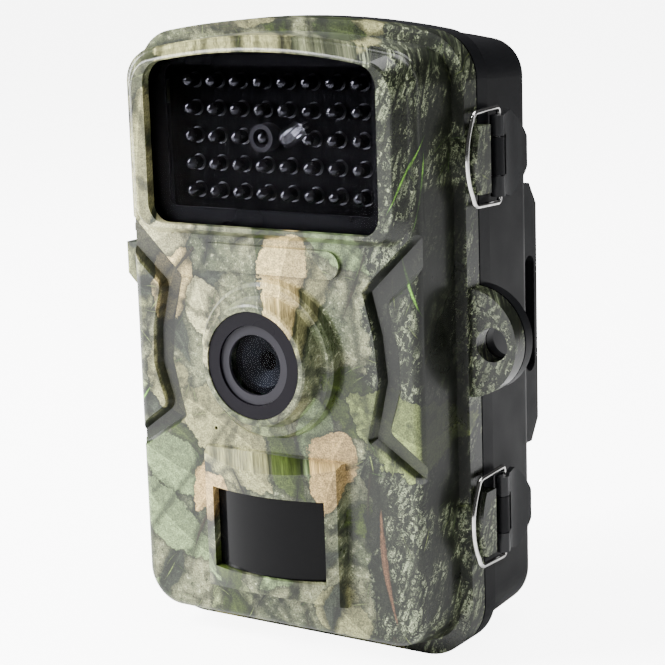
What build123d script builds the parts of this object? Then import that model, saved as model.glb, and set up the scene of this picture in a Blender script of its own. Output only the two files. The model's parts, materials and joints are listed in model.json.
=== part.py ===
"""Trail camera: a hinged weatherproof case with an infrared flash, lens, motion sensor and two latches.

Frame: millimetres, +X to the right seen from the front, +Y to the back, +Z up.
The origin is the mouth of the tripod socket, in the plane the case stands on.
Depths are measured back from the main front face of the door.
"""
from build123d import *
import os

os.makedirs("parts", exist_ok=True)

# ---------------------------------------------------------------- driving dimensions
FACE = -34.0           # y of the door's main front face
HALF_WIDTH = 42.5      # flange
HEIGHT = 140.4         # flange crown above the standing plane
SHOULDER = 135.9       # where the crown would meet the side
R_TOP = 10.5
R_BOTTOM = 12.0
LEDGE = 12.1           # depth of the front flange's ledge
SEAM_FRONT = 17.4      # depth where the door ends
SEAM_BACK = 17.9       # depth where the rear shell starts
STEP = 22.4            # depth where the rear flange ends
BACK = 46.0            # depth of the rear shell's back face
WALL = 2.0
DOOR_FLOOR = 4.0       # depth where the door's cavity starts

WINDOW_HALF = 30.1     # infrared window opening
WINDOW_BOTTOM = 96.0
WINDOW_SHOULDER = 131.1
WINDOW_CROWN = 134.1
FRAME_FRONT = -2.8

LENS_Z = 66.9
BOSS_FRONT = -7.7
LENS_SEAT = -5.6

PIR_Z = 27.7           # middle of the motion sensor's opening
PIR_HALF = 14.9
PIR_LOW = 18.4
PIR_HIGH = 37.1
PIR_BULGE = 3.5

LED_PITCH_X = 6.25
LED_PITCH_Z = 6.08
LED_Z = 115.0
LED_BOARD = 7.0        # depth of the infrared board's front
BOARD = 9.8            # depth of the main board's front
BOARD_BACK = 11.4
PANEL = 14.6           # inner panel
PANEL_BACK = 16.6

LATCH_Z = (110.8, 31.7)
LATCH_X = 44.6         # lever pivot
LATCH_DEPTH = 22.4
BAIL_X = 44.0          # bail pivot
BAIL_DEPTH = 24.4
BAIL_WIRE = 0.55
LEVER_HALF = 8.65      # half the lever's barrel
BASE_HALF = 4.05       # half the base knuckle between the lever's two

HINGE_X = -46.8
HINGE_DEPTH = 17.65
HINGE_Z = (103.6, 31.95)
HINGE_SPREAD = 9.55    # a knuckle group above and below each hinge's middle
KNUCKLE_GROUP = 7.1
KNUCKLE_LUG = 1.6
HINGE_PIN = 1.0

EAR_X = 41.4
EAR_Z = 71.7
EAR_R = 11.9
EAR_HOLE_X = 47.5
EAR_HOLE_R = 3.75
EAR_FRONT = 13.2
EAR_BACK = 20.9

CELL_R = 7.25
CELL_LENGTH = 50.5
CELL_PITCH = 15.6
CELL_DEPTH = 30.1      # depth of the cells' axes
CELL_ROWS = (42.1, 98.1)
TRAY_FRONT = 22.4
TRAY_BACK = 38.8

JACK_X = 24.0
JACK_LOW = 5.3
JACK_HOLE = 4.3

BRACKET_HALF = 37.2
BRACKET_LOW = 40.5
BRACKET_HIGH = 101.0
BRACKET_BACK = 54.5
BRACKET_SCREWS = (21.0, 20.0)      # half spacing across and up
BRACKET_MIDDLE = (BRACKET_LOW + BRACKET_HIGH) / 2

PANEL_SCREW_X = 33.6
PANEL_SCREW_Z = (16.0, 70.0, 124.0)


def at(depth):
    """The XZ plane at this depth behind the main front face; a negative extrusion goes back."""
    return Plane.XZ.offset(-(FACE + depth))


def arched(half, bottom, shoulder, crown, r_top, r_bottom):
    """A rounded rectangle with an arched top."""
    with BuildSketch() as outline:
        with BuildLine():
            Polyline((-half, shoulder), (-half, bottom), (half, bottom), (half, shoulder))
            ThreePointArc((half, shoulder), (0, crown), (-half, shoulder))
        make_face()
        fillet(outline.vertices().group_by(Axis.Y)[-1], r_top)
        fillet(outline.vertices().group_by(Axis.Y)[0], r_bottom)
    return outline.sketch


def case_outline(inset=0.0):
    return arched(HALF_WIDTH - inset, inset, SHOULDER - inset, HEIGHT - inset,
                  R_TOP - 0.8 * inset, R_BOTTOM - 0.8 * inset)


def channel(side):
    """The recessed channel between the middle of the door's face and its side wing."""
    points = [(47, 106.8), (23.6, 83.9), (26.2, 73.9), (27.2, 64.4), (25.4, 56.4), (24.0, 51.0),
              (47, 36.0), (47, 41.2), (30.0, 53.6), (32.9, 62.9), (32.6, 71.4), (30.2, 81.3), (47, 96.2)]
    with BuildSketch() as area:
        with BuildLine():
            Polyline(*[(side * x, z) for x, z in points], close=True)
        make_face()
        inner = area.vertices().filter_by(lambda v: abs(v.X) < 46)
        fillet(inner, 1.6)
    return area.sketch


def knuckle_plan(x, depth, radius, arm_x, arm_near, arm_far):
    """A hinge lug seen from above: a round end joined to the case by an arm."""
    with BuildSketch() as plan:
        with Locations((x, FACE + depth)):
            Circle(radius)
        with BuildLine():
            Polyline((x, FACE + arm_near), (arm_x, FACE + arm_near), (arm_x, FACE + arm_far),
                     (x, FACE + arm_far), close=True)
        make_face()
    return plan.sketch


def hinge_groups():
    return [z + s * HINGE_SPREAD for z in HINGE_Z for s in (-1, 1)]


# ---------------------------------------------------------------- door: front shell
with BuildPart() as front_shell:
    with BuildSketch(at(LEDGE)):
        add(case_outline())
    extrude(amount=-(SEAM_FRONT - LEDGE))
    with BuildSketch(at(LEDGE + 0.4)):
        add(arched(39.6, 3.2, 133.2, 137.6, 8.0, 9.6))
    with BuildSketch(at(0)):
        add(arched(37.4, 5.4, 132.6, 137.0, 7.0, 8.6))
    loft()
    fillet(front_shell.faces().filter_by(Axis.Y).sort_by(Axis.Y)[0].edges(), 2.2)
    # raised frame round the infrared window
    with BuildSketch(at(2.6)):
        add(arched(37.9, 92.2, 133.0, 137.3, 7.2, 7.0))
    with BuildSketch(at(FRAME_FRONT)):
        add(arched(33.6, 95.0, 131.0, 134.9, 6.4, 5.4))
    loft()
    fillet(front_shell.faces().filter_by(Axis.Y).sort_by(Axis.Y)[0].edges(), 0.7)
    # lens boss in two tiers
    with BuildSketch(Plane.XY.offset(LENS_Z)):
        with BuildLine():
            Polyline((0, FACE + 1), (17.9, FACE + 1), (17.5, FACE - 2.2), (16.7, FACE - 3.0),
                     (14.7, FACE - 3.0), (13.5, FACE - 7.3), (13.05, FACE + BOSS_FRONT),
                     (0, FACE + BOSS_FRONT), close=True)
        make_face()
    revolve(axis=Axis((0, 0, LENS_Z), (0, 1, 0)))
    # blank badge pad
    with BuildSketch(at(0.4)):
        with Locations((0, 88.85)):
            SlotOverall(37.0, 6.1)
    extrude(amount=1.2)
    # motion sensor housing, bowed in plan, with a sloping visor
    with BuildSketch(Plane.XY.offset(12.6)):
        with BuildLine():
            Polyline((-17.6, FACE - 2.9), (-18.6, FACE + 1), (18.6, FACE + 1), (17.6, FACE - 2.9))
            ThreePointArc((17.6, FACE - 2.9), (0, FACE - 2.9 - PIR_BULGE), (-17.6, FACE - 2.9))
        make_face()
    extrude(amount=32.8)
    with BuildSketch(Plane.YZ):
        with BuildLine():
            Polyline((FACE - 0.1, 46.0), (FACE - 9, 41.1), (FACE - 9, 50.0), (FACE - 0.1, 50.0), close=True)
        make_face()
        with BuildLine():
            Polyline((FACE - 0.1, 12.4), (FACE - 9, 15.4), (FACE - 9, 5.0), (FACE - 0.1, 5.0), close=True)
        make_face()
    extrude(amount=24, both=True, mode=Mode.SUBTRACT)
    # channels between the middle and the wings
    for side in (-1, 1):
        with BuildSketch(at(0)):
            add(channel(side))
        extrude(amount=-2.0, taper=32, mode=Mode.SUBTRACT)
    # catches for the bails, bowed like the wire
    for z in LATCH_Z:
        with BuildSketch(Plane.YZ.offset(38.4)):
            with BuildLine():
                Polyline((FACE + 13.3, z - 7.2), (FACE + SEAM_FRONT, z - 7.2),
                         (FACE + SEAM_FRONT, z + 7.2), (FACE + 13.3, z + 7.2))
                ThreePointArc((FACE + 13.3, z + 7.2), (FACE + 11.35, z), (FACE + 13.3, z - 7.2))
            make_face()
        extrude(amount=45.8 - 38.4)
    # padlock ear and, on the other side, a lift tab
    with BuildSketch(at(EAR_FRONT)):
        with Locations((EAR_X, EAR_Z)):
            Circle(EAR_R)
        with Locations((EAR_X - 8, EAR_Z)):
            Rectangle(16, 40, mode=Mode.SUBTRACT)
    extrude(amount=-(SEAM_FRONT - EAR_FRONT))
    with BuildSketch(at(EAR_FRONT)):
        with BuildLine():
            Polyline((-41, 88.1), (-49.6, 88.1), (-49.6, 80.6), (-46.0, 77.0), (-41, 77.0), close=True)
        make_face()
    extrude(amount=-(SEAM_FRONT - EAR_FRONT))
    # hinge lugs, two to each group
    lug_plan = knuckle_plan(HINGE_X, HINGE_DEPTH, 2.9, -41.5, 14.75, SEAM_FRONT)
    for z in hinge_groups():
        for low in (z - KNUCKLE_GROUP / 2, z + KNUCKLE_GROUP / 2 - KNUCKLE_LUG):
            with BuildSketch(Plane.XY.offset(low)):
                add(lug_plan)
            extrude(amount=KNUCKLE_LUG)
    # cavity
    with BuildSketch(at(DOOR_FLOOR)):
        add(arched(36.2, 7.0, 131.0, 135.2, 5.5, 7.0))
    with BuildSketch(at(SEAM_FRONT + 0.4)):
        add(arched(37.7, 5.4, 132.0, 135.8, 6.5, 8.0))
    loft(mode=Mode.SUBTRACT)
    for x in (-PANEL_SCREW_X, PANEL_SCREW_X):
        for z in PANEL_SCREW_Z:
            with BuildSketch(at(PANEL)):
                with Locations((x, z)):
                    Circle(2.7)
            extrude(amount=PANEL - DOOR_FLOOR)
            with BuildSketch(at(PANEL)):
                with Locations((x, z)):
                    Circle(1.05)
            extrude(amount=6.5, mode=Mode.SUBTRACT)
    # window opening, with a wider seat behind it for the glass and its mask
    with BuildSketch(at(FRAME_FRONT - 1)):
        add(arched(WINDOW_HALF, WINDOW_BOTTOM, WINDOW_SHOULDER, WINDOW_CROWN, 5.0, 4.2))
    extrude(amount=-12, mode=Mode.SUBTRACT)
    with BuildSketch(at(-0.6)):
        add(arched(31.9, 94.2, 132.4, 135.5, 5.6, 5.0))
    extrude(amount=-(DOOR_FLOOR + 1.0), mode=Mode.SUBTRACT)
    # lens bores
    for near, far, radius in ((BOSS_FRONT - 1, LENS_SEAT, 12.0), (LENS_SEAT, -4.0, 9.0),
                              (-4.0, -2.8, 7.8), (-2.8, DOOR_FLOOR + 1, 11.2)):
        with BuildSketch(at(far)):
            with Locations((0, LENS_Z)):
                Circle(radius)
        extrude(amount=far - near, mode=Mode.SUBTRACT)
    # motion sensor opening and the room behind it
    with BuildSketch(at(DOOR_FLOOR + 1)):
        with Locations((0, (PIR_LOW + PIR_HIGH) / 2)):
            Rectangle(2 * PIR_HALF, PIR_HIGH - PIR_LOW)
    extrude(amount=14, mode=Mode.SUBTRACT)
    # microphone hole, padlock hole and hinge bores
    with BuildSketch(at(DOOR_FLOOR + 1)):
        with Locations((-16.1, 49.5)):
            Circle(0.4)
    extrude(amount=7, mode=Mode.SUBTRACT)
    with BuildSketch(at(SEAM_FRONT)):
        with Locations((EAR_HOLE_X, EAR_Z)):
            Circle(EAR_HOLE_R)
    extrude(amount=8, mode=Mode.SUBTRACT)
    with BuildSketch(Plane.XY):
        with Locations((HINGE_X, FACE + HINGE_DEPTH)):
            Circle(HINGE_PIN + 0.06)
    extrude(amount=HEIGHT, mode=Mode.SUBTRACT)

# ---------------------------------------------------------------- rear shell
with BuildPart() as rear_shell:
    with BuildSketch(at(SEAM_BACK)):
        add(case_outline())
    extrude(amount=-(STEP - SEAM_BACK))
    with BuildSketch(at(STEP - 0.4)):
        add(arched(40.7, 1.9, 134.2, 138.5, 9.0, 10.5))
    with BuildSketch(at(BACK)):
        add(arched(39.8, 2.9, 132.6, 136.8, 8.2, 9.6))
    loft()
    fillet(rear_shell.faces().filter_by(Axis.Y).sort_by(Axis.Y)[-1].edges(), 3.4)
    # tripod boss, level with the flange, so the case stands on both
    with BuildSketch(Plane.XY):
        Circle(8.0)
    extrude(amount=10.4)
    # padlock ear
    with BuildSketch(at(SEAM_BACK)):
        with Locations((EAR_X, EAR_Z)):
            Circle(EAR_R)
        with Locations((EAR_X - 8, EAR_Z)):
            Rectangle(16, 40, mode=Mode.SUBTRACT)
    extrude(amount=-(EAR_BACK - SEAM_BACK))
    # hinge lugs, one to each group
    rear_lug = knuckle_plan(HINGE_X, HINGE_DEPTH, 2.6, -41.5, SEAM_BACK, 20.3)
    for z in hinge_groups():
        with BuildSketch(Plane.XY.offset(z - 1.65)):
            add(rear_lug)
        extrude(amount=3.3)
    # base knuckles of the latches
    base_plan = knuckle_plan(LATCH_X, LATCH_DEPTH, 1.55, 41.5, 21.0, STEP)
    for z in LATCH_Z:
        with BuildSketch(Plane.XY.offset(z - BASE_HALF)):
            add(base_plan)
        extrude(amount=2 * BASE_HALF)
    # cavity, kept clear of the tripod boss
    with BuildSketch(at(SEAM_BACK - 0.4)):
        add(arched(38.0, 4.8, 131.6, 135.8, 6.6, 8.0))
    with BuildSketch(at(BACK - WALL)):
        add(arched(37.7, 5.2, 130.6, 134.7, 6.2, 7.6))
    loft(mode=Mode.SUBTRACT)
    with BuildSketch(Plane.XY):
        Circle(6.6)
    extrude(amount=10.4)
    # gasket groove
    with BuildSketch(at(SEAM_BACK)):
        add(case_outline(1.2))
        add(case_outline(3.4), mode=Mode.SUBTRACT)
    extrude(amount=-1.7, mode=Mode.SUBTRACT)
    # bracket screw bosses inside the back wall
    for x in (-BRACKET_SCREWS[0], BRACKET_SCREWS[0]):
        for z in (-BRACKET_SCREWS[1], BRACKET_SCREWS[1]):
            with BuildSketch(at(BACK - WALL - 4)):
                with Locations((x, BRACKET_MIDDLE + z)):
                    Circle(3.4)
            extrude(amount=-5)
            with BuildSketch(at(BACK)):
                with Locations((x, BRACKET_MIDDLE + z)):
                    Circle(1.25)
            extrude(amount=5.4, mode=Mode.SUBTRACT)
    # bores: padlock, hinge, latches, tripod insert, power socket
    with BuildSketch(at(EAR_BACK)):
        with Locations((EAR_HOLE_X, EAR_Z)):
            Circle(EAR_HOLE_R)
    extrude(amount=8, mode=Mode.SUBTRACT)
    with BuildSketch(Plane.XY):
        with Locations((HINGE_X, FACE + HINGE_DEPTH)):
            Circle(HINGE_PIN)
        with Locations((LATCH_X, FACE + LATCH_DEPTH)):
            Circle(0.8)
    extrude(amount=HEIGHT, mode=Mode.SUBTRACT)
    with BuildSketch(Plane.XY):
        Circle(4.3)
    extrude(amount=8.0, mode=Mode.SUBTRACT)
    with BuildSketch(Plane.XY):
        with Locations((JACK_X, 0)):
            Circle(JACK_HOLE)
    extrude(amount=6.0, mode=Mode.SUBTRACT)

with BuildPart() as gasket:
    with BuildSketch(at(SEAM_BACK - 0.3)):
        add(case_outline(1.4))
        add(case_outline(3.2), mode=Mode.SUBTRACT)
    extrude(amount=-2.0)

with BuildPart() as tripod_insert:
    with BuildSketch(Plane.XY):
        Circle(4.3)
        Circle(2.55, mode=Mode.SUBTRACT)
    extrude(amount=8.0)

with BuildPart() as hinge_pins:
    for z in HINGE_Z:
        half = HINGE_SPREAD + KNUCKLE_GROUP / 2
        with BuildSketch(Plane.XY.offset(z - half)):
            with Locations((HINGE_X, FACE + HINGE_DEPTH)):
                Circle(HINGE_PIN)
        extrude(amount=2 * half)

with BuildPart() as latch_pins:
    for z in LATCH_Z:
        with BuildSketch(Plane.XY.offset(z - LEVER_HALF)):
            with Locations((LATCH_X, FACE + LATCH_DEPTH)):
                Circle(0.8)
        extrude(amount=2 * LEVER_HALF)

# ---------------------------------------------------------------- latches
def lever(z):
    """An over-centre lever: two barrels on the pin, and a scooped D-shaped thumb plate behind them."""
    with BuildPart() as part:
        for low in (z - LEVER_HALF, z + BASE_HALF + 0.2):
            with BuildSketch(Plane.XY.offset(low)):
                with Locations((LATCH_X, FACE + LATCH_DEPTH)):
                    Circle(1.55)
                with Locations((BAIL_X, FACE + BAIL_DEPTH)):
                    Circle(1.25)
                make_hull()
            extrude(amount=LEVER_HALF - BASE_HALF - 0.2)
        with BuildSketch(Plane.XY.offset(z - 9.3)):
            with BuildLine():
                ThreePointArc((44.3, FACE + 24.2), (43.9, FACE + 28.4), (45.6, FACE + 32.6))
                Line((45.6, FACE + 32.6), (46.7, FACE + 32.2))
                ThreePointArc((46.7, FACE + 32.2), (45.2, FACE + 28.4), (45.25, FACE + 24.2))
                Line((45.25, FACE + 24.2), (44.3, FACE + 24.2))
            make_face()
        extrude(amount=18.6)
        with BuildSketch(Plane.YZ.offset(43.4)):
            with BuildLine():
                Polyline((FACE + 27.6, z - 9.3), (FACE + 25.6, z - LEVER_HALF), (FACE + 20.4, z - LEVER_HALF),
                         (FACE + 20.4, z + LEVER_HALF), (FACE + 25.6, z + LEVER_HALF), (FACE + 27.6, z + 9.3))
                ThreePointArc((FACE + 27.6, z + 9.3), (FACE + 32.7, z), (FACE + 27.6, z - 9.3))
            make_face()
        extrude(amount=8, both=True, mode=Mode.INTERSECT)
        with BuildSketch(Plane.XY.offset(z - BASE_HALF - 0.2)):
            with Locations((LATCH_X, FACE + LATCH_DEPTH)):
                Rectangle(8, 6.4)
        extrude(amount=2 * (BASE_HALF + 0.2), mode=Mode.SUBTRACT)
        with BuildSketch(Plane.XY.offset(z - 12)):
            with Locations((LATCH_X, FACE + LATCH_DEPTH)):
                Circle(0.85)
        extrude(amount=24, mode=Mode.SUBTRACT)
        for low in (z - LEVER_HALF, z + LEVER_HALF - 2.6):
            with BuildSketch(Plane.XY.offset(low)):
                with Locations((BAIL_X, FACE + BAIL_DEPTH)):
                    Circle(BAIL_WIRE + 0.07)
            extrude(amount=2.6, mode=Mode.SUBTRACT)
    return part


def bail(z):
    """A bent steel wire: its ends turn into the lever, its bowed middle bears on the catch."""
    half = 10.2
    with BuildPart() as part:
        with BuildLine(Plane.YZ.offset(BAIL_X)) as wire:
            FilletPolyline((FACE + BAIL_DEPTH, z + 6.2), (FACE + BAIL_DEPTH, z + half),
                           (FACE + 13.4, z + 9.8), (FACE + 10.3, z + 3.4), (FACE + 10.3, z - 3.4),
                           (FACE + 13.4, z - 9.8), (FACE + BAIL_DEPTH, z - half),
                           (FACE + BAIL_DEPTH, z - 6.2), radius=(1.1, 1.8, 14.0, 14.0, 1.8, 1.1))
        with BuildSketch(Plane.XY.offset(z + 6.2)):
            with Locations((BAIL_X, FACE + BAIL_DEPTH)):
                Circle(BAIL_WIRE)
        sweep(path=wire.line)
    return part


latch_lever_upper, latch_lever_lower = [lever(z) for z in LATCH_Z]
bail_upper, bail_lower = [bail(z) for z in LATCH_Z]

# ---------------------------------------------------------------- batteries
cell_places = [(x * CELL_PITCH, z) for z in CELL_ROWS for x in (-1.5, -0.5, 0.5, 1.5)]
POCKET = 52.9

with BuildPart() as battery_tray:
    with BuildSketch(at(TRAY_FRONT)):
        with Locations((0, sum(CELL_ROWS) / 2)):
            RectangleRounded(66.0, 115.6, 2.0)
    extrude(amount=-(TRAY_BACK - TRAY_FRONT))
    with BuildSketch(at(TRAY_FRONT)):
        for z in CELL_ROWS:
            with Locations((0, z)):
                Rectangle(62.6, POCKET)
    extrude(amount=-15.0, mode=Mode.SUBTRACT)
    for x, z in [(x, z) for x in (-24, 24) for z in (20.0, 120.0)]:
        with BuildSketch(at(TRAY_BACK)):
            with Locations((x, z)):
                Circle(3.0)
        extrude(amount=-(BACK - WALL - TRAY_BACK))

with BuildPart() as aa_cells:
    for k, (x, z) in enumerate(cell_places):
        up = 1 if k % 2 == 0 else -1
        with BuildSketch(Plane.XY.offset(z - 24.75 - 0.5 * up)):
            with Locations((x, FACE + CELL_DEPTH)):
                Circle(CELL_R)
        extrude(amount=49.5)
        with BuildSketch(Plane.XY.offset(z + 24.25 if up > 0 else z - 25.25)):
            with Locations((x, FACE + CELL_DEPTH)):
                Circle(2.7)
        extrude(amount=1.0)

with BuildPart() as cell_contacts:
    for x, z in cell_places:
        for end in (-1, 1):
            with BuildSketch(Plane.XY.offset(z + end * (POCKET / 2 - 0.2) - 0.2)):
                with Locations((x, FACE + CELL_DEPTH)):
                    Rectangle(12.0, 11.0)
            extrude(amount=0.4)

with BuildPart() as cell_springs:
    for k, (x, z) in enumerate(cell_places):
        low = z - POCKET / 2 + 0.4 if k % 2 == 0 else z + 25.25
        wide, narrow = (4.4, 2.6) if k % 2 == 0 else (2.6, 4.4)
        with Locations((x, FACE + CELL_DEPTH, low + 0.4)):
            Cone(wide, narrow, 0.8)

with BuildPart() as battery_cover:
    with BuildSketch(at(TRAY_FRONT - 1.6)):
        with Locations((0, sum(CELL_ROWS) / 2)):
            RectangleRounded(65.0, 114.6, 2.0)
    extrude(amount=-1.6)
    for z in (44.0, 96.0):
        with BuildSketch(at(TRAY_FRONT - 2.2)):
            with Locations((0, z)):
                SlotOverall(26.0, 3.0)
                with Locations((0, 5.0)):
                    SlotOverall(26.0, 3.0)
        extrude(amount=-1.0)
    with BuildSketch(at(TRAY_FRONT - 3)):
        with Locations((0, 124.5)):
            SlotOverall(18.0, 7.0)
    extrude(amount=-2.2, mode=Mode.SUBTRACT)

# ---------------------------------------------------------------- back bracket
with BuildPart() as tree_bracket:
    with BuildSketch(at(BACK)):
        with Locations((0, BRACKET_MIDDLE)):
            RectangleRounded(2 * BRACKET_HALF, BRACKET_HIGH - BRACKET_LOW, 5.0)
    extrude(amount=-2.6)
    for side in (-1, 1):
        with BuildSketch(Plane.YZ.offset(side * 32.2)):
            with BuildLine():
                Polyline((FACE + BACK, BRACKET_LOW), (FACE + BACK + 5.2, BRACKET_LOW),
                         (FACE + BRACKET_BACK, BRACKET_LOW + 5), (FACE + BRACKET_BACK, BRACKET_HIGH - 5),
                         (FACE + BACK + 5.2, BRACKET_HIGH), (FACE + BACK, BRACKET_HIGH), close=True)
            make_face()
        extrude(amount=5.0, both=True)
        # strap slot
        with BuildSketch(Plane.YZ.offset(side * 32.2)):
            with Locations((FACE + BACK + 4.9, BRACKET_MIDDLE)):
                SlotOverall(27.0, 4.6, rotation=90)
        extrude(amount=6.0, both=True, mode=Mode.SUBTRACT)
    with BuildSketch(at(BACK + 2.6)):
        with Locations((0, BRACKET_MIDDLE)):
            with GridLocations(2 * BRACKET_SCREWS[0], 2 * BRACKET_SCREWS[1], 2, 2):
                Circle(1.5)
    extrude(amount=4, mode=Mode.SUBTRACT)

with BuildPart() as bracket_screws:
    for x in (-BRACKET_SCREWS[0], BRACKET_SCREWS[0]):
        for z in (-BRACKET_SCREWS[1], BRACKET_SCREWS[1]):
            with BuildSketch(at(BACK + 2.6)):
                with Locations((x, BRACKET_MIDDLE + z)):
                    Circle(2.6)
            extrude(amount=-1.8)
            with BuildSketch(at(BACK + 2.6)):
                with Locations((x, BRACKET_MIDDLE + z)):
                    Circle(1.25)
            extrude(amount=7.4)
            with BuildSketch(at(BACK + 4.4)):
                with Locations((x, BRACKET_MIDDLE + z)):
                    RegularPolygon(1.2, 6)
            extrude(amount=1.0, mode=Mode.SUBTRACT)

# ---------------------------------------------------------------- power inlet
with BuildPart() as dc_jack:
    with BuildSketch(Plane.XY.offset(JACK_LOW)):
        with Locations((JACK_X, 0)):
            Rectangle(9.0, 11.0)
    extrude(amount=6.8)
    with BuildSketch(Plane.XY.offset(JACK_LOW)):
        with Locations((JACK_X, 0)):
            Circle(2.75)
            Circle(1.0, mode=Mode.SUBTRACT)
    extrude(amount=5.8, mode=Mode.SUBTRACT)

with BuildPart() as port_plug:
    with BuildSketch(Plane.XY.offset(0.4)):
        with Locations((JACK_X, 0)):
            SlotOverall(17.0, 11.0)
    extrude(amount=1.4)
    with BuildSketch(Plane.XY.offset(0.4)):
        with Locations((JACK_X, 0)):
            Circle(JACK_HOLE - 0.1)
    extrude(amount=4.6)

# ---------------------------------------------------------------- infrared flash
with BuildPart() as ir_window:
    with BuildSketch(at(-0.5)):
        add(arched(31.8, 94.3, 132.3, 135.4, 5.5, 4.9))
    extrude(amount=-1.6)

with BuildPart() as window_mask:
    with BuildSketch(at(1.15)):
        add(arched(31.8, 94.3, 132.3, 135.4, 5.5, 4.9))
        with Locations((0, 115.2)):
            RectangleRounded(53.4, 31.4, 2.0, mode=Mode.SUBTRACT)
    extrude(amount=-0.4)

with BuildPart() as ir_board:
    with BuildSketch(at(LED_BOARD)):
        with Locations((0, LED_Z - 0.5)):
            RectangleRounded(60.0, 36.0, 2.5)
    extrude(amount=-1.2)

led_places = [((i - 3.5) * LED_PITCH_X, LED_Z + (2 - j) * LED_PITCH_Z)
              for j in range(5) for i in range(8) if not (j == 2 and i in (3, 4))]


def led(x, z, radius, rim, tip, foot):
    """A domed emitter along Y, from its foot on the board forward to its tip."""
    with BuildPart() as part:
        with BuildSketch(Plane.XY.offset(z)):
            with BuildLine():
                Line((x, FACE + foot), (x + rim, FACE + foot))
                Line((x + rim, FACE + foot), (x + rim, FACE + foot - 1.0))
                Line((x + rim, FACE + foot - 1.0), (x + radius, FACE + foot - 1.0))
                Line((x + radius, FACE + foot - 1.0), (x + radius, FACE + tip + radius))
                CenterArc((x, FACE + tip + radius), radius, 0, -90)
                Line((x, FACE + tip), (x, FACE + foot))
            make_face()
        revolve(axis=Axis((x, 0, z), (0, 1, 0)))
    return part.part


with BuildPart() as ir_leds:
    for x, z in led_places:
        add(led(x, z, 1.5, 1.85, 1.9, LED_BOARD))

with BuildPart() as status_led:
    add(led(-0.5 * LED_PITCH_X, LED_Z, 1.45, 1.8, 3.0, LED_BOARD))

with BuildPart() as sensor_sleeve:
    with BuildSketch(at(LED_BOARD)):
        with Locations((-0.5 * LED_PITCH_X, LED_Z)):
            Circle(3.05)
            Circle(2.05, mode=Mode.SUBTRACT)
    extrude(amount=LED_BOARD - 3.4)

# light sensor: a clear dome lying on its bent leads in front of the board
SENSOR_TIP = Vector(1.6, FACE + 4.4, LED_Z - 1.0)
SENSOR_AXIS = Vector(0.843, 0, 0.538)
with BuildPart() as light_sensor:
    with BuildSketch(Plane(origin=SENSOR_TIP, x_dir=(0, 1, 0), z_dir=SENSOR_AXIS).offset(2.2)):
        Circle(2.2)
    extrude(amount=3.2)
    with Locations(Location(SENSOR_TIP + SENSOR_AXIS * 2.2)):
        Sphere(2.2)

with BuildPart() as sensor_leads:
    for side in (-0.6, 0.6):
        foot = SENSOR_TIP + SENSOR_AXIS * 5.4 + Vector(-0.538, 0, 0.843) * side
        knee = foot + SENSOR_AXIS * 2.2
        with BuildLine() as lead:
            FilletPolyline(foot, knee, (knee.X, FACE + LED_BOARD, knee.Z), radius=0.7)
        with BuildSketch(Plane(origin=foot, z_dir=SENSOR_AXIS)):
            Rectangle(0.5, 0.5)
        sweep(path=lead.line)

# ---------------------------------------------------------------- lens
def ring(near, far, outer, inner):
    """A ring round the lens axis."""
    with BuildPart() as part:
        with BuildSketch(at(far)):
            with Locations((0, LENS_Z)):
                Circle(outer)
                Circle(inner, mode=Mode.SUBTRACT)
        extrude(amount=far - near)
    return part


lens_bezel = ring(-7.4, LENS_SEAT, 11.93, 8.9)
lens_trim = ring(-6.8, LENS_SEAT, 8.8, 6.75)
with lens_trim:
    chamfer(lens_trim.edges().filter_by(GeomType.CIRCLE).sort_by(SortBy.RADIUS)[0], 0.4)

with BuildPart() as cover_glass:
    with BuildSketch(at(-4.2)):
        with Locations((0, LENS_Z)):
            Circle(8.9)
    extrude(amount=-4.2 - LENS_SEAT)

with BuildPart() as lens_barrel:
    with BuildSketch(Plane.XY.offset(LENS_Z)):
        with BuildLine():
            Polyline((3.4, FACE + 3.6), (3.4, FACE - 1.0), (2.2, FACE - 1.6), (5.6, FACE - 3.6),
                     (7.0, FACE - 3.6), (7.0, FACE - 2.2), (6.0, FACE - 1.8), (6.0, FACE + 3.6), close=True)
        make_face()
    revolve(axis=Axis((0, 0, LENS_Z), (0, 1, 0)))

with BuildPart() as lens_elements:
    for near, far in ((-0.9, 0.3), (0.9, 1.9), (2.3, 3.3)):
        with BuildSketch(at(far)):
            with Locations((0, LENS_Z)):
                Circle(3.35)
        extrude(amount=far - near)
    fillet(lens_elements.edges().filter_by(GeomType.CIRCLE).sort_by(Axis.Y)[0], 0.9)

with BuildPart() as lens_holder:
    with BuildSketch(at(6.6)):
        with Locations((0, LENS_Z)):
            RectangleRounded(15.0, 15.0, 1.0)
    extrude(amount=8.0)
    with BuildSketch(at(3.9)):
        with Locations((0, LENS_Z)):
            Circle(6.05)
    extrude(amount=8.0, mode=Mode.SUBTRACT)
    # slot in which the filter slides, and the sensor's room behind it
    with BuildSketch(at(5.0)):
        with Locations((0, LENS_Z)):
            Rectangle(15.1, 9.2)
    extrude(amount=1.2, mode=Mode.SUBTRACT)
    with BuildSketch(at(6.7)):
        with Locations((0, LENS_Z)):
            Rectangle(9.0, 9.0)
    extrude(amount=2.0, mode=Mode.SUBTRACT)

with BuildPart() as ir_cut_filter:
    with BuildSketch(at(4.75)):
        with Locations((-1.5, LENS_Z)):
            RectangleRounded(15.0, 8.6, 0.8)
    extrude(amount=0.7)

with BuildPart() as ir_cut_coil:
    with BuildSketch(at(6.6)):
        with Locations((0, LENS_Z + 10.1)):
            RectangleRounded(9.0, 4.8, 0.6)
    extrude(amount=2.4)

with BuildPart() as image_sensor:
    with BuildSketch(at(6.6)):
        with Locations((0, LENS_Z)):
            Rectangle(8.0, 8.0)
    extrude(amount=1.0)

with BuildPart() as camera_board:
    with BuildSketch(at(6.6)):
        with Locations((0, LENS_Z + 1.5)):
            RectangleRounded(28.0, 29.0, 1.5)
    extrude(amount=-1.2)

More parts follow.
